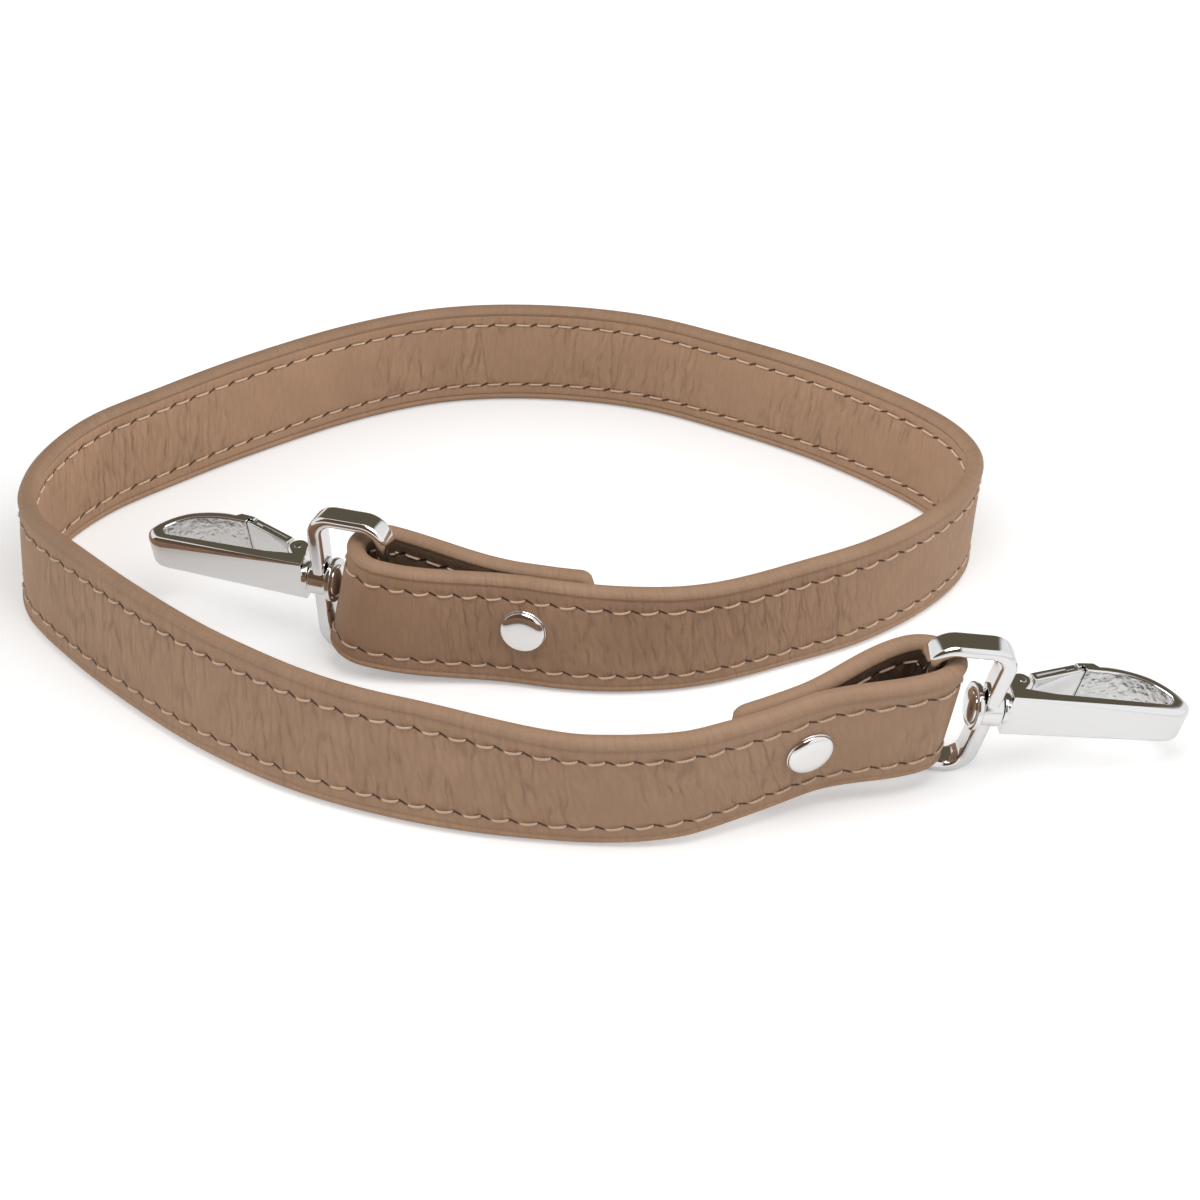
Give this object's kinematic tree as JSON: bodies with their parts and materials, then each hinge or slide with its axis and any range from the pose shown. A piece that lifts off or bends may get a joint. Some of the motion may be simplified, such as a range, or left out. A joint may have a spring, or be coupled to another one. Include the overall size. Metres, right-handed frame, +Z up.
{
  "type": "detachable bag strap",
  "caption": "Flat stitched leather bag strap lying in a loose loop, its riveted ends folded round rings that carry swivel snap hooks.",
  "frame": {"origin": "middle of the underside of the whole object's box, on the surface the strap stands on", "axes": "+X to the right along the loop's length, +Y to the back, +Z up along the strap's width"},
  "size_m": [0.1852, 0.1328, 0.0269],
  "materials": {
    "leather": "semi-matt grained",
    "lining": "matt",
    "core": "matt",
    "thread": "waxed",
    "chrome": "polished",
    "steel": "satin"
  },
  "bodies": {
    "strap": {"strap_outer_leather": "leather", "strap_core": "core", "strap_lining": "lining", "thread_outer_upper": "thread", "thread_outer_lower": "thread", "thread_inner_upper": "thread", "thread_inner_lower": "thread", "rivet_cap_left": "chrome", "rivet_stud_left": "chrome", "rivet_cap_right": "chrome", "rivet_stud_right": "chrome"},
    "ring_left": {"swivel_ring_left": "chrome"},
    "hook_left": {"hook_body_left": "chrome", "swivel_pin_left": "steel", "gate_pin_left": "steel"},
    "gate_left": {"gate_left": "chrome", "gate_spring_left": "steel"},
    "ring_right": {"swivel_ring_right": "chrome"},
    "hook_right": {"hook_body_right": "chrome", "swivel_pin_right": "steel", "gate_pin_right": "steel"},
    "gate_right": {"gate_right": "chrome", "gate_spring_right": "steel"}
  },
  "joints": [
    {"name": "ring_swing_left", "type": "hinge", "parent": "strap", "child": "ring_left", "pos_m": [-0.02766, -0.02025, 0.01351], "axis": [0.0191, 0.0305, -0.9994], "range_deg": [-7, 20]},
    {"name": "hook_swivel_left", "type": "hinge", "parent": "ring_left", "child": "hook_left", "pos_m": [-0.04102, -0.01591, 0.01339], "axis": [-0.9512, 0.3085, -0.0087], "continuous": true},
    {"name": "gate_open_left", "type": "hinge", "parent": "hook_left", "child": "gate_left", "pos_m": [-0.04242, -0.01307, 0.01373], "axis": [-0.0565, -0.1461, 0.9877], "range_deg": [0, 22], "stiffness_Nm_per_rad": 0.002, "springref_deg": -20.05},
    {"name": "ring_swing_right", "type": "hinge", "parent": "strap", "child": "ring_right", "pos_m": [0.05058, -0.04921, 0.01442], "axis": [0.1747, -0.1597, 0.9716], "range_deg": [-12, 30]},
    {"name": "hook_swivel_right", "type": "hinge", "parent": "ring_right", "child": "hook_right", "pos_m": [0.06439, -0.04806, 0.01213], "axis": [0.9832, 0.0817, -0.1633], "continuous": true},
    {"name": "gate_open_right", "type": "hinge", "parent": "hook_right", "child": "gate_right", "pos_m": [0.06641, -0.04561, 0.01204], "axis": [-0.1716, 0.108, -0.9792], "range_deg": [0, 22], "stiffness_Nm_per_rad": 0.002, "springref_deg": -20.05}
  ]
}
